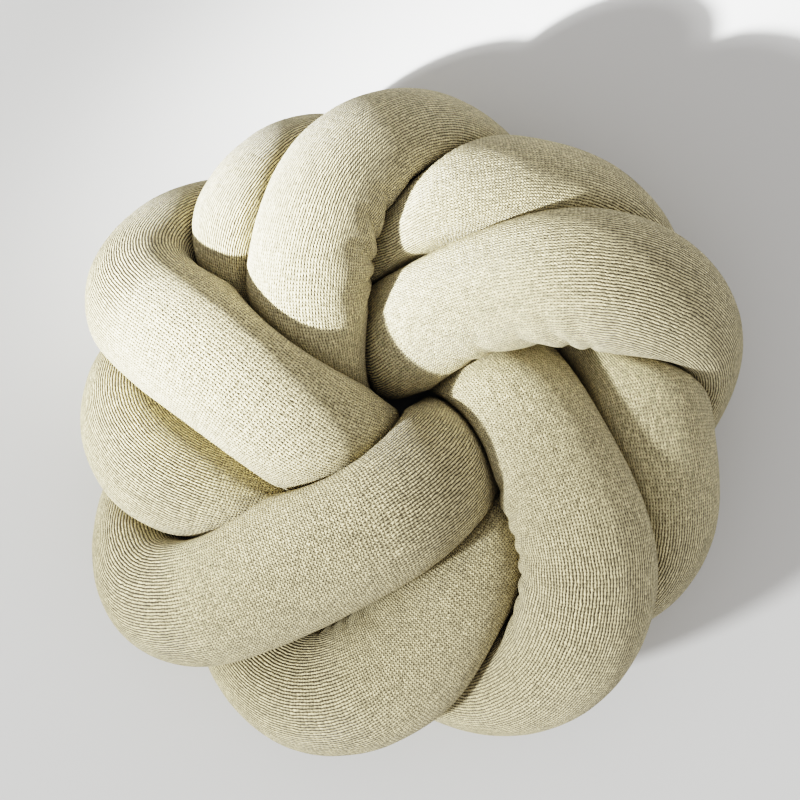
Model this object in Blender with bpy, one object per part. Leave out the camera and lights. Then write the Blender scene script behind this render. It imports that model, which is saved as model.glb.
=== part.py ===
"""Knot cushion: one stuffed knitted tube, closed into a ring and tied with itself into a flat
round knot of ten bends. Units are metres with Z up. The cushion rests on Z = 0, its face up,
with the middle of its footprint at X = Y = 0.

The knot has fivefold order. Each fifth of it has an inner arm, which runs from a bend at the rim
right in to the small hole in the middle, and an outer arm, which lies beside it and slips under
a neighbour earlier. Every arm crosses the upper side, dives, and comes out below the rim two
fifths further round, where it turns up into an arm of the other kind.
"""

import bpy
import numpy as np

MM = 0.001

# The stuffed tube
SWELLING = 1.07                  # squeezed filling widens the tube's free side by up to this
SEAM_GAP = 2.6 * MM              # left open between two windings that press on each other
EDGE_SHARPNESS = 8.0             # how abruptly the round side turns into a pressed flat
FLOOR_SINK = 1.5 * MM            # how far its weight spreads the lowest side into a flat

# The windings' middle line, seen from above: bearing in degrees, counter-clockwise from the
# right, and reach in mm from the hole. Below each table is the line's height in mm at each mark.
# bight: turns up over the rim     crown: lies highest        slope: starts to go down
# dive: goes under its neighbours  under: lies on the floor   outlet: leaves for the next bight
# radius: of the tube in mm where nothing presses on it, as fully as that arm is stuffed
INNER_ARMS = (
    # bight       crown       slope       dive        under       outlet      radius
    ((158, 192), (165, 148), (205, 64), (243, 58), (283, 107), (310, 163), 46),
    ((217, 208), (231, 140), (283, 52), (311, 45), (347, 77), (384, 157), 47),
    ((293, 193), (314, 162), (344, 87), (388, 56), (410, 63), (463, 150), 46),
    ((13, 181), (28, 160), (66, 74), (119, 49), (129, 67), (165, 154), 45),
    ((88, 170), (112, 147), (144, 86), (172, 66), (197, 76), (232, 179), 41),
)
INNER_HEIGHTS = (73, 116, 102, 61, 36, 33)
OUTER_ARMS = (
    # bight       crown       slope       dive        outlet      radius
    ((186, 184), (198, 163), (211, 128), (238, 119), (279, 181), 43),
    ((251, 207), (273, 157), (296, 116), (327, 122), (359, 164), 44),
    ((333, 180), (351, 157), (369, 152), (400, 129), (435, 153), 43),
    ((47, 163), (66, 142), (101, 121), (120, 115), (140, 168), 47),
    ((119, 168), (128, 162), (136, 154), (168, 119), (198, 174), 43),
)
OUTER_HEIGHTS = (73, 90, 80, 50, 40)
FIFTHS = 5
FIFTHS_TO_NEXT_ARM = 2

# The solid's facets
RINGS = 290
SIDES = 20
CURVE_POINTS = 6000
LINE_POINTS = 1200
EASING_PASSES = 60
BEND_CROWDING = 0.8              # how much closer the rings stand in a tight bend
OWN_LENGTH = 30.0 * MM           # along the tube, what is nearer than this never presses on it
HALVINGS = 20
TINY = 1e-9

# The knitted cover
COVER_COLOUR = (0.60, 0.52, 0.33, 1.0)
COVER_ROUGHNESS = 0.92


def marks_along_the_route():
    """Place and radius at the marks of all ten arms, in the order in which the tube passes."""
    marks = []
    fifth = 0
    for turn in range(2 * FIFTHS):
        if turn % 2 == 0:
            arm, heights = INNER_ARMS[fifth], INNER_HEIGHTS
        else:
            arm, heights = OUTER_ARMS[fifth], OUTER_HEIGHTS
        radius = arm[-1]
        for (bearing, reach), height in zip(arm, heights):
            angle = np.radians(bearing)
            marks.append((reach * np.cos(angle), reach * np.sin(angle), height, radius))
        fifth = (fifth + FIFTHS_TO_NEXT_ARM) % FIFTHS
    return np.array(marks) * MM


def closed_spline(marks, count):
    """Points on the smooth closed curve through the marks (a cubic with matched curvature)."""
    step = np.linalg.norm((np.roll(marks, -1, axis=0) - marks)[:, :3], axis=1)
    before = np.roll(step, 1)
    rise = (np.roll(marks, -1, axis=0) - marks) / step[:, None]
    size = len(marks)
    system = np.zeros((size, size))
    rows = np.arange(size)
    system[rows, rows] = 2.0 * (step + before)
    system[rows, rows - 1] = step
    system[rows, (rows + 1) % size] = before
    known = 3.0 * (step[:, None] * np.roll(rise, 1, axis=0) + before[:, None] * rise)
    slope = np.linalg.solve(system, known)

    ends = np.concatenate(([0.0], np.cumsum(step)))
    places = np.linspace(0.0, ends[-1], count, endpoint=False)
    span = np.searchsorted(ends, places, side="right") - 1
    length = step[span][:, None]
    part = (places - ends[span])[:, None] / length
    start, finish = marks[span], marks[(span + 1) % size]
    pull, push = slope[span] * length, slope[(span + 1) % size] * length
    return (
        start * (2 * part**3 - 3 * part**2 + 1)
        + pull * (part**3 - 2 * part**2 + part)
        + finish * (3 * part**2 - 2 * part**3)
        + push * (part**3 - part**2)
    )


def rows_at(line, along, places):
    """Rows of a closed line at the wanted distances; along holds each row's own and the total."""
    closed = np.vstack((line, line[:1]))
    return np.stack([np.interp(places, along, column) for column in closed.T], axis=1)


def evenly_spaced(line, count):
    """The same closed line as so many points at equal steps, and the step."""
    gaps = np.linalg.norm((np.roll(line, -1, axis=0) - line)[:, :3], axis=1)
    along = np.concatenate(([0.0], np.cumsum(gaps)))
    places = np.linspace(0.0, along[-1], count, endpoint=False)
    return rows_at(line, along, places), along[-1] / count


def eased(line):
    """The line with its sharper turns rounded off, since a full tube bends only gently."""
    for _ in range(EASING_PASSES):
        line = (np.roll(line, 1, axis=0) + 2.0 * line + np.roll(line, -1, axis=0)) / 4.0
    return line


def directions_and_bends(line):
    """Unit direction and curvature vector at each point of a closed line."""
    ahead = np.roll(line, -1, axis=0) - line
    behind = line - np.roll(line, 1, axis=0)
    ahead_length = np.linalg.norm(ahead, axis=1)[:, None]
    behind_length = np.linalg.norm(behind, axis=1)[:, None]
    direction = ahead / ahead_length + behind / behind_length
    direction /= np.linalg.norm(direction, axis=1)[:, None]
    bend = 2.0 * (ahead / ahead_length - behind / behind_length) / (ahead_length + behind_length)
    return direction, bend


def spokes(direction, sides):
    """Unit vectors round the tube at each ring, carried along it with no sudden twist."""
    count = len(direction)
    first = np.zeros_like(direction)
    spoke = np.array((0.0, 0.0, 1.0))
    for ring in range(count):
        spoke = spoke - direction[ring] * spoke.dot(direction[ring])
        spoke /= np.linalg.norm(spoke)
        first[ring] = spoke
    back_home = spoke - direction[0] * spoke.dot(direction[0])
    back_home /= np.linalg.norm(back_home)
    twist = np.arctan2(np.cross(back_home, first[0]).dot(direction[0]), back_home.dot(first[0]))
    second = np.cross(direction, first)
    turn = twist * np.arange(count)[:, None] / count
    angle = 2.0 * np.pi * np.arange(sides)[None, :] / sides + turn
    return (
        np.cos(angle)[..., None] * first[:, None, :]
        + np.sin(angle)[..., None] * second[:, None, :]
    )


def ring_places(line, step, count):
    """Distances along the tube of its rings, which stand closer together in the tight bends."""
    bend = directions_and_bends(line[:, :3])[1]
    crowding = 1.0 + BEND_CROWDING * line[:, 3] * np.linalg.norm(bend, axis=1)
    measure = np.concatenate(([0.0], np.cumsum(crowding)))
    wanted = np.linspace(0.0, measure[-1], count, endpoint=False)
    return np.interp(wanted, measure, step * np.arange(len(line) + 1))


def room_to_neighbours(centre, place, spoke, line, step):
    """How far each spoke of one ring reaches before the plane halfway to another winding, or to
    the tube's own next stretch on the inside of a bend."""
    along = np.abs(step * np.arange(len(line)) - place)
    along = np.minimum(along, step * len(line) - along)
    other = line[along > OWN_LENGTH, :3] - centre
    distance = np.linalg.norm(other, axis=1)
    facing = np.maximum(spoke @ other.T, TINY)
    return (distance * (distance - SEAM_GAP) / 2.0 / facing).min(axis=1)


def pressed_radii(room, radius):
    """The tube's radius along each spoke where a round tube is pressed into the room it has."""
    squeeze = room**-EDGE_SHARPNESS + radius[:, None] ** -EDGE_SHARPNESS
    return squeeze ** (-1.0 / EDGE_SHARPNESS)


def swollen(radius, room):
    """The free radius that keeps each ring's girth while parts of it are pressed in."""
    sides = room.shape[1]
    angle = 2.0 * np.pi * np.arange(sides) / sides
    girth = 2.0 * sides * np.sin(np.pi / sides) * radius
    least, most = radius, SWELLING * radius
    for _ in range(HALVINGS):
        middle = (least + most) / 2.0
        radii = pressed_radii(room, middle)
        across, up = radii * np.cos(angle), radii * np.sin(angle)
        chords = np.hypot(np.roll(across, -1, axis=1) - across, np.roll(up, -1, axis=1) - up)
        fits = chords.sum(axis=1) <= girth
        least = np.where(fits, middle, least)
        most = np.where(fits, most, middle)
    return least


def tube_surface(ring_count, sides):
    """Rings of points on the stuffed tube, shape (rings, sides, 3), centred over X = Y = 0."""
    curve = closed_spline(marks_along_the_route(), CURVE_POINTS)
    line, step = evenly_spaced(eased(evenly_spaced(curve, LINE_POINTS)[0]), LINE_POINTS)
    places = ring_places(line, step, ring_count)
    rings = rows_at(line, step * np.arange(len(line) + 1), places)
    centres, radius = rings[:, :3], rings[:, 3]
    direction, _ = directions_and_bends(centres)
    spoke = spokes(direction, sides)

    room = np.array([
        room_to_neighbours(centre, place, spoke[ring], line, step)
        for ring, (centre, place) in enumerate(zip(centres, places))
    ])
    to_floor = (centres[:, 2:] + FLOOR_SINK) / np.maximum(-spoke[..., 2], TINY)
    room = np.minimum(room, to_floor)

    radii = pressed_radii(room, swollen(radius, room))
    surface = centres[:, None, :] + radii[..., None] * spoke
    surface[..., 2] = np.maximum(surface[..., 2], 0.0)
    middle = (surface.min(axis=(0, 1)) + surface.max(axis=(0, 1))) / 2.0
    surface[..., :2] -= middle[:2]
    return surface


def knitted_cover():
    """Plain jersey knit in a pale, greyed yellow-green yarn."""
    material = bpy.data.materials.new("knitted_cover")
    material.use_nodes = True
    shader = material.node_tree.nodes["Principled BSDF"]
    shader.inputs["Base Color"].default_value = COVER_COLOUR
    shader.inputs["Roughness"].default_value = COVER_ROUGHNESS
    shader.inputs["Metallic"].default_value = 0.0
    return material


def knot_tube():
    """The whole cushion: the stuffed tube as one closed body."""
    surface = tube_surface(RINGS, SIDES)
    faces = []
    for ring in range(RINGS):
        here = ring * SIDES
        there = (ring + 1) % RINGS * SIDES
        for side in range(SIDES):
            following = (side + 1) % SIDES
            faces.append((here + side, here + following, there + following, there + side))
    mesh = bpy.data.meshes.new("knot_tube")
    mesh.from_pydata(surface.reshape(-1, 3).tolist(), [], faces)
    mesh.shade_smooth()
    mesh.materials.append(knitted_cover())
    tube = bpy.data.objects.new("knot_tube", mesh)
    bpy.context.scene.collection.objects.link(tube)


def main():
    for thing in list(bpy.data.objects):
        bpy.data.objects.remove(thing)
    knot_tube()


main()
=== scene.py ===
"""Knot cushion, dressed: the stuffed tube with its knitted cover, on a pale floor in soft light.

The cushion is one knitted tube, stuffed, closed into a ring and knotted with itself. Its middle
line and its pressed section come from the same sizes as the solid's, but its windings lie closer
together. What is added here is what the cover does on top of them: a finer surface, the filling's
soft lumps, the gathers on the inside of the bends, and the knit itself. Units are metres, Z up.
"""

import math

import bpy
import numpy as np
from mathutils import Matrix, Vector, noise


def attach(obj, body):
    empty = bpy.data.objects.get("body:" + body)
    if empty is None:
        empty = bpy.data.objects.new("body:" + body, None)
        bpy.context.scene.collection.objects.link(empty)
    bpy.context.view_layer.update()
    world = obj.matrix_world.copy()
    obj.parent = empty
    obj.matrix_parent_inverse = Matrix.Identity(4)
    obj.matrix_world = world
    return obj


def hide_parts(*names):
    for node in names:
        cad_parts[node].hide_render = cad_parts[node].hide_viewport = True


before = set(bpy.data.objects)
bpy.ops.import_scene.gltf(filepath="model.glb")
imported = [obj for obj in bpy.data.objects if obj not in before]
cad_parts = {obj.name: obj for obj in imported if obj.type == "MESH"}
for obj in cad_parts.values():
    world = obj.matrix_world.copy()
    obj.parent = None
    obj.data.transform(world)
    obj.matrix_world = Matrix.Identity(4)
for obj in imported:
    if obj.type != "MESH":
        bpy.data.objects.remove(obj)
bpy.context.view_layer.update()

MM = 0.001

# The stuffed tube
SWELLING = 1.07                  # squeezed filling widens the tube's free side by up to this
SEAM_GAP = 0.6 * MM              # left open between two windings that press on each other
EDGE_SHARPNESS = 9.0             # how abruptly the round side turns into a pressed flat
FLOOR_SINK = 1.5 * MM            # how far its weight spreads the lowest side into a flat

# The windings' middle line, seen from above: bearing in degrees, counter-clockwise from the
# right, and reach in mm from the hole. Below each table is the line's height in mm at each mark.
# bight: turns up over the rim     crown: lies highest        slope: starts to go down
# dive: goes under its neighbours  under: lies on the floor   outlet: leaves for the next bight
# radius: of the tube in mm where nothing presses on it, as fully as that arm is stuffed
# gathers: how far the cover is crumpled on the inside of that arm's bends, from 0 to 1
INNER_ARMS = (
    # bight       crown       slope       dive        under       outlet      radius  gathers
    ((158, 192), (165, 148), (205, 64), (243, 58), (283, 107), (310, 163), 46, 0.3),
    ((217, 208), (231, 140), (283, 52), (311, 45), (347, 77), (384, 157), 47, 0.3),
    ((293, 193), (314, 162), (344, 87), (388, 56), (410, 63), (463, 150), 46, 0.8),
    ((13, 181), (28, 160), (66, 74), (119, 49), (129, 67), (165, 154), 45, 1.0),
    ((88, 170), (112, 147), (144, 86), (172, 66), (197, 76), (232, 179), 41, 1.0),
)
INNER_HEIGHTS = (73, 116, 102, 61, 36, 33)
OUTER_ARMS = (
    # bight       crown       slope       dive        outlet      radius  gathers
    ((186, 184), (198, 163), (211, 128), (238, 119), (279, 181), 43, 0.3),
    ((251, 207), (273, 157), (296, 116), (327, 122), (359, 164), 44, 0.35),
    ((333, 180), (351, 157), (369, 152), (400, 129), (435, 153), 43, 0.3),
    ((47, 163), (66, 142), (101, 121), (120, 115), (140, 168), 47, 0.4),
    ((119, 168), (128, 162), (136, 154), (168, 119), (198, 174), 43, 0.3),
)
OUTER_HEIGHTS = (73, 90, 80, 50, 40)
FIFTHS = 5
FIFTHS_TO_NEXT_ARM = 2

# The fine surface
RINGS = 1200
SIDES = 82
CURVE_POINTS = 6000
LINE_POINTS = 1200
EASING_PASSES = 60
BEND_CROWDING = 2.0              # how much closer the rings stand in a tight bend
OWN_LENGTH = 30.0 * MM           # along the tube, what is nearer than this never presses on it
HALVINGS = 20                    # of the range in which a ring's free radius is looked for
TINY = 1e-9                      # divisor for a spoke that faces away, which has all the room

# What filling and cover do to it. A pair says where something starts to show and where it
# shows in full.
LUMP_SIZE = 62.0 * MM            # tufts of filling felt through the cover
LUMP_HEIGHT = 0.9 * MM
DIMPLE_SIZE = 21.0 * MM
DIMPLE_HEIGHT = 0.3 * MM
LUMPS_SHOW = (0.90, 0.995)       # the tube's radius over its free one, which is less in a flat
GATHER_PITCH = 21.0 * MM         # between two gathers, along the tube's middle line
GATHER_DEPTH = 4.3 * MM
CREST_SHAPE = 0.65               # under 1, the gathers' crests are broad and their creases narrow
INNER_SIDE = (0.3, 0.85)         # how squarely the cover faces the inside of the bend, up to 1
TIGHTNESS = (0.03, 0.25)         # the tube's radius over that of the level part of its bend
GATHER_CHANGE_SIZE = 50.0 * MM   # over which their spacing and depth change
GATHERS_COME = (-0.45, 0.1)      # value of a soft noise from -1 to 1

# The knit: plain jersey, its ridges (wales) along the tube and its rows (courses) round it
USUAL_RADIUS = 43.0 * MM
WALE_PITCH = 2.2 * MM
COURSE_PITCH = 1.75 * MM
WALES = round(2.0 * math.pi * USUAL_RADIUS / WALE_PITCH)
WANDER_SIZE = 28.0 * MM          # over such stretches whole rows and columns wander
WANDER = (1.6, 2.2, 0.0)         # in wales and courses
SLACK_SIZE = 3.4 * MM            # over such stretches stitches are slack or tight
SLACK = (0.45, 1.2, 0.0)         # in wales and courses
LEG_SLANT = 1.2                  # courses that a stitch's leg climbs for a wale's width
FIBRE_SIZE = 0.9 * MM            # far coarser than real fibres, or they would not show
RELIEF = 1.4 * MM                # deeper than real jersey's, or it would not show from so high

# How the knit changes from where the tube is straight to where it is bent so hard that the
# columns have parted
PARTING = (0.28, 0.72)           # the tube's radius over its bend's: straight enough, hard bent
GROOVE_WIDTH = (0.7, 1.2)        # power of the ridge's round section
RIDGE_SHARE = (0.45, 0.82)       # of the ridge in the relief, the rest being the stitches' legs
LIT_YARN_IN_GAPS = (0.1, 0.0)    # share of the yarn's own colour at the bottom of a gap, the rest being painted shade

# Of the relief's height, from 0 to 1: the gaps' painted shade ends, and the yarn's colour begins
YARN_SHOWS = (0.27, 0.7)

# How light and dark the yarn is, as a factor from least to most
STITCH_TONE = (0.6, 1.24)
WALE_TONE = (0.93, 1.05)
FIBRE_TONE = (0.82, 1.18)
FIBRE_SPREAD = (0.3, 0.7)        # the values of the fibres' noise that stand for least and most

# Floor, light and camera. A bearing is in degrees, counter-clockwise from the right.
FLOOR_REACH = 6.0
FLOOR_TOP = -0.2 * MM            # just below the cushion's flats, so that the two never coincide
LIGHT_COLOUR = (0.985, 1.0, 0.99)   # linear, a trace greener than white
LIGHT_BEARING = 206.0
LIGHT_HEIGHT = 29.0              # degrees above the floor
KEY_STRENGTH = 4.0               # watts on a square metre
KEY_WIDTH = 6.0                  # degrees of sky that the light takes up, which softens shadows
BEAM_POWER = 11800.0             # watts, most of which the narrow cone leaves out
BEAM_DISTANCE = 6.0
BEAM_WIDTH = 2.0                 # degrees that its lamp takes up
BEAM_CONE = 3.6                  # degrees from side to side
BEAM_AIM = (-0.022, 0.176, 0.1)  # over the upper arms
FILL_STRENGTH = 0.68
CAMERA_PLACE = (-7.6 * MM, 14.9 * MM, 1.5)
SENSOR_MM = 36.0
LENS_MM = 95.0


def marks_along_the_route():
    """Place, radius and how far the cover is crumpled at the marks of all ten arms, in the order
    in which the tube passes."""
    marks = []
    fifth = 0
    for turn in range(2 * FIFTHS):
        if turn % 2 == 0:
            arm, heights = INNER_ARMS[fifth], INNER_HEIGHTS
        else:
            arm, heights = OUTER_ARMS[fifth], OUTER_HEIGHTS
        *places, radius, crumpled = arm
        for (bearing, reach), height in zip(places, heights):
            angle = np.radians(bearing)
            across, up = reach * np.cos(angle), reach * np.sin(angle)
            marks.append((across * MM, up * MM, height * MM, radius * MM, crumpled))
        fifth = (fifth + FIFTHS_TO_NEXT_ARM) % FIFTHS
    return np.array(marks)


def closed_spline(marks, count):
    """Points on the smooth closed curve through the marks (a cubic with matched curvature)."""
    step = np.linalg.norm((np.roll(marks, -1, axis=0) - marks)[:, :3], axis=1)
    before = np.roll(step, 1)
    rise = (np.roll(marks, -1, axis=0) - marks) / step[:, None]
    size = len(marks)
    system = np.zeros((size, size))
    rows = np.arange(size)
    system[rows, rows] = 2.0 * (step + before)
    system[rows, rows - 1] = step
    system[rows, (rows + 1) % size] = before
    known = 3.0 * (step[:, None] * np.roll(rise, 1, axis=0) + before[:, None] * rise)
    slope = np.linalg.solve(system, known)

    ends = np.concatenate(([0.0], np.cumsum(step)))
    places = np.linspace(0.0, ends[-1], count, endpoint=False)
    span = np.searchsorted(ends, places, side="right") - 1
    length = step[span][:, None]
    part = (places - ends[span])[:, None] / length
    start, finish = marks[span], marks[(span + 1) % size]
    pull, push = slope[span] * length, slope[(span + 1) % size] * length
    return (
        start * (2 * part**3 - 3 * part**2 + 1)
        + pull * (part**3 - 2 * part**2 + part)
        + finish * (3 * part**2 - 2 * part**3)
        + push * (part**3 - part**2)
    )


def rows_at(line, along, places):
    """Rows of a closed line at the wanted distances; along holds each row's own and the total."""
    closed = np.vstack((line, line[:1]))
    return np.stack([np.interp(places, along, column) for column in closed.T], axis=1)


def evenly_spaced(line, count):
    """The same closed line as so many points at equal steps, and the step."""
    gaps = np.linalg.norm((np.roll(line, -1, axis=0) - line)[:, :3], axis=1)
    along = np.concatenate(([0.0], np.cumsum(gaps)))
    places = np.linspace(0.0, along[-1], count, endpoint=False)
    return rows_at(line, along, places), along[-1] / count


def eased(line):
    """The line with its sharper turns rounded off, since a full tube bends only gently."""
    for _ in range(EASING_PASSES):
        line = (np.roll(line, 1, axis=0) + 2.0 * line + np.roll(line, -1, axis=0)) / 4.0
    return line


def directions_and_bends(line):
    """Unit direction and curvature vector at each point of a closed line."""
    ahead = np.roll(line, -1, axis=0) - line
    behind = line - np.roll(line, 1, axis=0)
    ahead_length = np.linalg.norm(ahead, axis=1)[:, None]
    behind_length = np.linalg.norm(behind, axis=1)[:, None]
    direction = ahead / ahead_length + behind / behind_length
    direction /= np.linalg.norm(direction, axis=1)[:, None]
    bend = 2.0 * (ahead / ahead_length - behind / behind_length) / (ahead_length + behind_length)
    return direction, bend


def spokes(direction, sides):
    """Unit vectors round the tube at each ring, carried along it with no sudden twist."""
    count = len(direction)
    first = np.zeros_like(direction)
    spoke = np.array((0.0, 0.0, 1.0))
    for ring in range(count):
        spoke = spoke - direction[ring] * spoke.dot(direction[ring])
        spoke /= np.linalg.norm(spoke)
        first[ring] = spoke
    back_home = spoke - direction[0] * spoke.dot(direction[0])
    back_home /= np.linalg.norm(back_home)
    twist = np.arctan2(np.cross(back_home, first[0]).dot(direction[0]), back_home.dot(first[0]))
    second = np.cross(direction, first)
    turn = twist * np.arange(count)[:, None] / count
    angle = 2.0 * np.pi * np.arange(sides)[None, :] / sides + turn
    return (
        np.cos(angle)[..., None] * first[:, None, :]
        + np.sin(angle)[..., None] * second[:, None, :]
    )


def ring_places(line, step, count):
    """Distances along the tube of its rings, which stand closer together in the tight bends."""
    bend = directions_and_bends(line[:, :3])[1]
    crowding = 1.0 + BEND_CROWDING * line[:, 3] * np.linalg.norm(bend, axis=1)
    measure = np.concatenate(([0.0], np.cumsum(crowding)))
    wanted = np.linspace(0.0, measure[-1], count, endpoint=False)
    return np.interp(wanted, measure, step * np.arange(len(line) + 1))


def room_to_neighbours(centre, place, spoke, line, step):
    """How far each spoke of one ring reaches before the plane halfway to another winding, or to
    the tube's own next stretch on the inside of a bend."""
    along = np.abs(step * np.arange(len(line)) - place)
    along = np.minimum(along, step * len(line) - along)
    other = line[along > OWN_LENGTH, :3] - centre
    distance = np.linalg.norm(other, axis=1)
    facing = np.maximum(spoke @ other.T, TINY)
    return (distance * (distance - SEAM_GAP) / 2.0 / facing).min(axis=1)


def pressed_radii(room, radius):
    """The tube's radius along each spoke where a round tube is pressed into the room it has."""
    squeeze = room**-EDGE_SHARPNESS + radius[:, None] ** -EDGE_SHARPNESS
    return squeeze ** (-1.0 / EDGE_SHARPNESS)


def swollen(radius, room):
    """The free radius that keeps each ring's girth while parts of it are pressed in."""
    sides = room.shape[1]
    angle = 2.0 * np.pi * np.arange(sides) / sides
    girth = 2.0 * sides * np.sin(np.pi / sides) * radius
    least, most = radius, SWELLING * radius
    for _ in range(HALVINGS):
        middle = (least + most) / 2.0
        radii = pressed_radii(room, middle)
        across, up = radii * np.cos(angle), radii * np.sin(angle)
        chords = np.hypot(np.roll(across, -1, axis=1) - across, np.roll(up, -1, axis=1) - up)
        fits = chords.sum(axis=1) <= girth
        least = np.where(fits, middle, least)
        most = np.where(fits, most, middle)
    return least


def ramp(value, start, full):
    """0 up to start, 1 from full on, and a soft rise between them."""
    part = np.clip((value - start) / (full - start), 0.0, 1.0)
    return part * part * (3.0 - 2.0 * part)


def soft_noise(points, size):
    """Smooth noise from -1 to 1 with lumps of about the given size, one value per point."""
    values = [noise.noise(Vector(point)) for point in (points.reshape(-1, 3) / size).tolist()]
    return np.array(values).reshape(points.shape[:-1])


def wale_places(surface):
    """Each point's place round the girth, counted in wales, with the wales evenly spaced over
    the cover and drifting no way on the whole. One more column closes the girth."""
    chords = np.linalg.norm(np.roll(surface, -1, axis=1) - surface, axis=2)
    arc = np.concatenate((np.zeros((len(surface), 1)), np.cumsum(chords, axis=1)), axis=1)
    share = arc / arc[:, -1:]
    even = np.linspace(0.0, 1.0, share.shape[1])[None, :]
    return WALES * (share - (share - even)[:, :-1].mean(axis=1)[:, None])


def lumps(surface):
    """Height of the cover over the plain tube where the filling's tufts push it, mostly below 0,
    so that the tube does not grow."""
    tufts = LUMP_HEIGHT * soft_noise(surface, LUMP_SIZE)
    dimples = DIMPLE_HEIGHT * soft_noise(surface, DIMPLE_SIZE)
    return tufts + dimples - LUMP_HEIGHT


def gathers(surface, spoke, bend, radius, crumpled, places):
    """Height of the cover over the plain tube where gathers draw it in, 0 or less. They lie on the
    inside of the level bends, and come and go along them."""
    level_bend = np.linalg.norm(bend[:, :2], axis=1)
    inward = (spoke[..., :2] * bend[:, None, :2]).sum(axis=2) / level_bend[:, None]
    gathered = ramp(inward, *INNER_SIDE)
    gathered *= (ramp(level_bend * radius, *TIGHTNESS) * crumpled)[:, None]
    wander = soft_noise(surface, GATHER_CHANGE_SIZE)
    fold = np.abs(np.sin(np.pi * (places[:, None] / GATHER_PITCH + wander)))
    come = ramp(soft_noise(surface - GATHER_CHANGE_SIZE, GATHER_CHANGE_SIZE), *GATHERS_COME)
    return GATHER_DEPTH * come * gathered * (fold**CREST_SHAPE - 1.0)


def tube_surface(ring_count, sides):
    """Rings of points on the stuffed tube, shape (rings, sides, 3), centred over X = Y = 0, the
    wales' places round it, each ring's distance along the tube with the whole length as the last,
    and how hard each ring is bent: the tube's radius over the bend's."""
    curve = closed_spline(marks_along_the_route(), CURVE_POINTS)
    line, step = evenly_spaced(eased(evenly_spaced(curve, LINE_POINTS)[0]), LINE_POINTS)
    places = ring_places(line, step, ring_count)
    along = step * np.arange(len(line) + 1)
    rings = rows_at(line, along, places)
    centres, radius, crumpled = rings[:, :3], rings[:, 3], rings[:, 4]
    direction, _ = directions_and_bends(centres)
    bend = rows_at(directions_and_bends(line[:, :3])[1], along, places)
    spoke = spokes(direction, sides)

    room = np.array([
        room_to_neighbours(centre, place, spoke[ring], line, step)
        for ring, (centre, place) in enumerate(zip(centres, places))
    ])
    to_floor = (centres[:, 2:] + FLOOR_SINK) / np.maximum(-spoke[..., 2], TINY)
    room = np.minimum(room, to_floor)
    free = swollen(radius, room)
    radii = pressed_radii(room, free)
    surface = centres[:, None, :] + radii[..., None] * spoke
    surface[..., 2] = np.maximum(surface[..., 2], 0.0)
    wales = wale_places(surface)

    relief = lumps(surface) * ramp(radii / free[:, None], *LUMPS_SHOW)
    relief += gathers(surface, spoke, bend, radius, crumpled, places)
    surface += relief[..., None] * spoke
    surface[..., 2] = np.maximum(surface[..., 2], 0.0)

    middle = (surface.min(axis=(0, 1)) + surface.max(axis=(0, 1))) / 2.0
    surface[..., :2] -= middle[:2]
    bend_of_ring = radius * np.linalg.norm(bend, axis=1)
    return surface, wales, np.append(places, along[-1]), bend_of_ring


def linear(hex_colour):
    """An sRGB hex colour as linear RGBA, by the standard's own curve."""
    channels = [int(hex_colour[at:at + 2], 16) / 255.0 for at in (1, 3, 5)]
    return tuple(
        c / 12.92 if c <= 0.04045 else ((c + 0.055) / 1.055) ** 2.4 for c in channels
    ) + (1.0,)


def add(tree, kind, settings=(), links=()):
    """Adds a node, with its settings by attribute name or socket, and links into its sockets."""
    node = tree.nodes.new(kind)
    for name, value in dict(settings).items():
        if isinstance(name, str) and hasattr(node, name):
            setattr(node, name, value)
        else:
            node.inputs[name].default_value = value
    for socket, source in dict(links).items():
        tree.links.new(source, node.inputs[socket])
    return node


def wale_and_course(tree, where):
    """Each point's place in the knit. Rows and columns wander, and single stitches are slack or
    tight, as knitting is never quite even."""
    knit = add(tree, "ShaderNodeAttribute", {"attribute_name": "knit"})
    place = knit.outputs["Vector"]
    for size, detail, reach in ((WANDER_SIZE, 5.0, WANDER), (SLACK_SIZE, 1.0, SLACK)):
        wobble = add(tree, "ShaderNodeTexNoise", {"Scale": 1.0 / size, "Detail": detail},
                     {"Vector": where})
        centred = add(tree, "ShaderNodeVectorMath",
                      {"operation": "SUBTRACT", 1: (0.5, 0.5, 0.5)}, {0: wobble.outputs["Color"]})
        moved = add(tree, "ShaderNodeVectorMath", {"operation": "MULTIPLY_ADD", 1: reach},
                    {0: centred.outputs[0], 2: place})
        place = moved.outputs[0]
    part = add(tree, "ShaderNodeSeparateXYZ", links={0: place})
    return part.outputs["X"], part.outputs["Y"]


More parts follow.
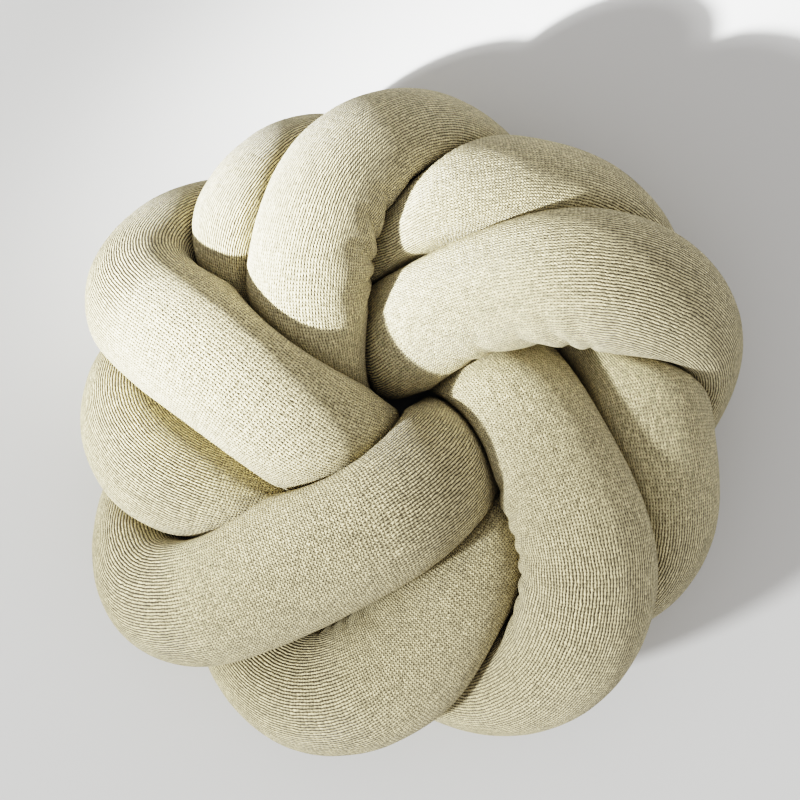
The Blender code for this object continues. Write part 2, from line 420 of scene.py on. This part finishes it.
def stitch_height(tree, aside, climb, parting):
    """The relief, from 0 in the gaps to 1 on the yarn."""
    # the ridge: 1 on the wale's round crest, falling to 0 in the groove, which parting widens
    half_turn = add(tree, "ShaderNodeMath", {"operation": "MULTIPLY", 1: math.pi}, {0: aside})
    crest = add(tree, "ShaderNodeMath", {"operation": "COSINE"}, {0: half_turn.outputs[0]})
    groove = add(tree, "ShaderNodeMapRange",
                 {"To Min": GROOVE_WIDTH[0], "To Max": GROOVE_WIDTH[1]}, {"Value": parting})
    ridge = add(tree, "ShaderNodeMath", {"operation": "POWER"},
                {0: crest.outputs[0], 1: groove.outputs[0]})

    # the stitches: each leg of a V is one slanting swell of the yarn
    in_leg = add(tree, "ShaderNodeMath", {"operation": "FRACT"}, {0: climb})
    leg_turn = add(tree, "ShaderNodeMath", {"operation": "MULTIPLY", 1: math.pi},
                   {0: in_leg.outputs[0]})
    leg = add(tree, "ShaderNodeMath", {"operation": "SINE"}, {0: leg_turn.outputs[0]})

    # where the columns part, the ridge counts for more than the legs
    ridge_share = add(tree, "ShaderNodeMapRange",
                      {"To Min": RIDGE_SHARE[0], "To Max": RIDGE_SHARE[1]}, {"Value": parting})
    height = add(tree, "ShaderNodeMix", {"data_type": "FLOAT"},
                 {0: ridge_share.outputs[0], 2: leg.outputs[0], 3: ridge.outputs[0]})
    return height.outputs[0]


def yarn_tone(tree, where, wale, off_centre, climb):
    """How light the yarn is, as a factor. No two stitches take the light quite alike, nor two
    columns, and fibres stand off both."""
    whole_wale = add(tree, "ShaderNodeMath", {"operation": "FLOOR"}, {0: wale})
    side_of_v = add(tree, "ShaderNodeMath", {"operation": "SIGN"}, {0: off_centre})
    whole_course = add(tree, "ShaderNodeMath", {"operation": "FLOOR"}, {0: climb})
    stitch = add(tree, "ShaderNodeCombineXYZ",
                 links={0: whole_wale.outputs[0], 1: whole_course.outputs[0],
                        2: side_of_v.outputs[0]})
    by_stitch = add(tree, "ShaderNodeTexWhiteNoise", {"noise_dimensions": "3D"},
                    {"Vector": stitch.outputs[0]})
    stitch_tone = add(tree, "ShaderNodeMapRange",
                      {"To Min": STITCH_TONE[0], "To Max": STITCH_TONE[1]},
                      {"Value": by_stitch.outputs["Value"]})
    by_wale = add(tree, "ShaderNodeTexWhiteNoise", {"noise_dimensions": "1D"},
                  {"W": whole_wale.outputs[0]})
    wale_tone = add(tree, "ShaderNodeMapRange",
                    {"To Min": WALE_TONE[0], "To Max": WALE_TONE[1]},
                    {"Value": by_wale.outputs["Value"]})
    fibres = add(tree, "ShaderNodeTexNoise", {"Scale": 1.0 / FIBRE_SIZE, "Detail": 2.0},
                 {"Vector": where})
    fibre_tone = add(tree, "ShaderNodeMapRange",
                     {"From Min": FIBRE_SPREAD[0], "From Max": FIBRE_SPREAD[1],
                      "To Min": FIBRE_TONE[0], "To Max": FIBRE_TONE[1]},
                     {"Value": fibres.outputs[0]})
    column_tone = add(tree, "ShaderNodeMath", {"operation": "MULTIPLY"},
                      {0: stitch_tone.outputs[0], 1: wale_tone.outputs[0]})
    tone = add(tree, "ShaderNodeMath", {"operation": "MULTIPLY"},
               {0: column_tone.outputs[0], 1: fibre_tone.outputs[0]})
    return tone.outputs[0]


def jersey_knit():
    """Plain jersey in a soft spun yarn of cotton and acrylic, pale greyed yellow-green. Columns
    of V-shaped stitches make fine ridges along the tube. The gaps between the stitches are painted
    dark as shade, so the straight arms look finely speckled. In the bends the columns part, and
    painted shade runs in dark lines between them. Short fibres give the edges a pale, matt bloom."""
    yarn = linear("#D6C9A1")
    # painted shade: this dark brown stands for the shade down in the gaps between the stitches,
    # not for a colour of the yarn
    painted_shade_in_gaps = linear("#3E3120")
    fibre_bloom = linear("#F7F3E6")
    material = bpy.data.materials.new("knitted_cover")
    material.use_nodes = True
    tree = material.node_tree
    tree.nodes.clear()

    where = add(tree, "ShaderNodeTexCoord").outputs["Object"]
    wale, course = wale_and_course(tree, where)
    in_wale = add(tree, "ShaderNodeMath", {"operation": "FRACT"}, {0: wale})
    off_centre = add(tree, "ShaderNodeMath", {"operation": "SUBTRACT", 1: 0.5},
                     {0: in_wale.outputs[0]})
    aside = add(tree, "ShaderNodeMath", {"operation": "ABSOLUTE"}, {0: off_centre.outputs[0]})
    climb = add(tree, "ShaderNodeMath", {"operation": "MULTIPLY_ADD", 1: LEG_SLANT},
                {0: aside.outputs[0], 2: course})
    bend = add(tree, "ShaderNodeAttribute", {"attribute_name": "bend"})
    parting = add(tree, "ShaderNodeMapRange",
                  {"interpolation_type": "SMOOTHSTEP",
                   "From Min": PARTING[0], "From Max": PARTING[1]},
                  {"Value": bend.outputs["Fac"]})
    height = stitch_height(tree, aside.outputs[0], climb.outputs[0], parting.outputs[0])
    tone = yarn_tone(tree, where, wale, off_centre.outputs[0], climb.outputs[0])

    # little light reaches the yarn in the gaps, so their shade is painted into the colour, darkest
    # where the columns part
    lit_in_gaps = add(tree, "ShaderNodeMapRange",
                      {"To Min": LIT_YARN_IN_GAPS[0], "To Max": LIT_YARN_IN_GAPS[1]},
                      {"Value": parting.outputs[0]})
    lit = add(tree, "ShaderNodeMapRange",
              {"interpolation_type": "SMOOTHSTEP",
               "From Min": YARN_SHOWS[0], "From Max": YARN_SHOWS[1]},
              {"Value": height, "To Min": lit_in_gaps.outputs[0]})
    # painted shade: the yarn's colour turns to the dark gap colour down in the relief's gaps
    yarn_and_painted_shade = add(tree, "ShaderNodeMix", {"data_type": "RGBA", 6: painted_shade_in_gaps, 7: yarn},
                   {0: lit.outputs[0]})
    toned = add(tree, "ShaderNodeVectorMath", {"operation": "SCALE"},
                {0: yarn_and_painted_shade.outputs[2], "Scale": tone})

    bump = add(tree, "ShaderNodeBump", {"Strength": 1.0, "Distance": RELIEF}, {"Height": height})
    shader = add(tree, "ShaderNodeBsdfPrincipled",
                 {"Roughness": 0.9, "Specular IOR Level": 0.25, "Sheen Weight": 0.25,
                  "Sheen Roughness": 0.5, "Sheen Tint": fibre_bloom},
                 {"Base Color": toned.outputs[0], "Normal": bump.outputs[0]})
    add(tree, "ShaderNodeOutputMaterial", links={0: shader.outputs[0]})
    return material


def wales_and_courses(wales, along):
    """The wale and course at the four corners of each face, in the order of its points."""
    courses = along * round(along[-1] / COURSE_PITCH) / along[-1]
    here = np.repeat(courses[:-1, None], SIDES, axis=1)
    there = np.repeat(courses[1:, None], SIDES, axis=1)
    wales_there = np.roll(wales, -1, axis=0)
    corners = (
        (wales[:, :-1], here),
        (wales[:, 1:], here),
        (wales_there[:, 1:], there),
        (wales_there[:, :-1], there),
    )
    return np.stack([np.stack(corner, axis=-1) for corner in corners], axis=2)


def knotted_tube():
    """The whole cushion: the stuffed tube in its knitted cover, as one closed mesh."""
    surface, wales, along, bend = tube_surface(RINGS, SIDES)
    ring = np.arange(RINGS)[:, None]
    side = np.arange(SIDES)[None, :]
    next_ring, next_side = (ring + 1) % RINGS, (side + 1) % SIDES
    faces = np.stack((
        ring * SIDES + side,
        ring * SIDES + next_side,
        next_ring * SIDES + next_side,
        next_ring * SIDES + side,
    ), axis=-1)
    mesh = bpy.data.meshes.new("knotted_tube")
    mesh.from_pydata(surface.reshape(-1, 3).tolist(), [], faces.reshape(-1, 4).tolist())
    mesh.shade_smooth()

    knit = mesh.attributes.new("knit", "FLOAT2", "CORNER")
    corners = wales_and_courses(wales, along)
    knit.data.foreach_set("vector", corners.astype(np.float32).ravel())
    bent = mesh.attributes.new("bend", "FLOAT", "POINT")
    bent.data.foreach_set("value", np.repeat(bend, SIDES).astype(np.float32))
    mesh.materials.append(jersey_knit())
    tube = bpy.data.objects.new("knotted_tube", mesh)
    bpy.context.scene.collection.objects.link(tube)
    return tube


def pale_floor():
    """Smooth matt paint in a pale grey: an even ground that takes shadows and has no gloss."""
    material = bpy.data.materials.new("matt_floor_paint")
    material.use_nodes = True
    shader = material.node_tree.nodes["Principled BSDF"]
    shader.inputs["Base Color"].default_value = linear("#CECECE")
    shader.inputs["Roughness"].default_value = 0.8
    corners = ((-1, -1), (1, -1), (1, 1), (-1, 1))
    mesh = bpy.data.meshes.new("floor")
    mesh.from_pydata(
        [(FLOOR_REACH * across, FLOOR_REACH * up, FLOOR_TOP) for across, up in corners],
        [], [(0, 1, 2, 3)],
    )
    mesh.materials.append(material)
    floor = bpy.data.objects.new("floor", mesh)
    bpy.context.scene.collection.objects.link(floor)
    return floor


def put_up(light, place, towards_light):
    """Puts a lamp with this light in its place, shining the other way from towards_light."""
    lamp = bpy.data.objects.new(light.name, light)
    lamp.location = place
    lamp.rotation_euler = towards_light.to_track_quat("Z", "Y").to_euler()
    bpy.context.scene.collection.objects.link(lamp)


def studio_light():
    """A soft key light from the left, low enough to model the windings, a second soft beam from
    the same side that falls on the upper arms alone, and an even pale fill."""
    bearing, height = math.radians(LIGHT_BEARING), math.radians(LIGHT_HEIGHT)
    towards_light = Vector((
        math.cos(bearing) * math.cos(height), math.sin(bearing) * math.cos(height),
        math.sin(height),
    ))

    key = bpy.data.lights.new("key_light", "SUN")
    key.energy = KEY_STRENGTH
    key.angle = math.radians(KEY_WIDTH)
    key.color = LIGHT_COLOUR
    put_up(key, Vector(), towards_light)

    beam = bpy.data.lights.new("soft_beam", "SPOT")
    beam.energy = BEAM_POWER
    beam.color = LIGHT_COLOUR
    beam.shadow_soft_size = BEAM_DISTANCE * math.tan(math.radians(BEAM_WIDTH / 2.0))
    beam.spot_size = math.radians(BEAM_CONE)
    beam.spot_blend = 1.0
    put_up(beam, Vector(BEAM_AIM) + BEAM_DISTANCE * towards_light, towards_light)

    world = bpy.data.worlds.new("soft_fill")
    world.use_nodes = True
    background = world.node_tree.nodes["Background"]
    background.inputs["Color"].default_value = linear("#FFFDFB")
    background.inputs["Strength"].default_value = FILL_STRENGTH
    bpy.context.scene.world = world


def overhead_camera():
    """Straight above the cushion's face, as the photograph was taken, with a film look of like
    contrast."""
    camera = bpy.data.cameras.new("camera")
    camera.sensor_width = SENSOR_MM
    camera.lens = LENS_MM
    eye = bpy.data.objects.new("camera", camera)
    eye.location = CAMERA_PLACE
    scene = bpy.context.scene
    scene.collection.objects.link(eye)
    scene.camera = eye
    scene.view_settings.view_transform = "Filmic"
    scene.view_settings.look = "High Contrast"


tube = knotted_tube()
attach(tube, "root")
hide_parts("knot_tube")
pale_floor()
studio_light()
overhead_camera()
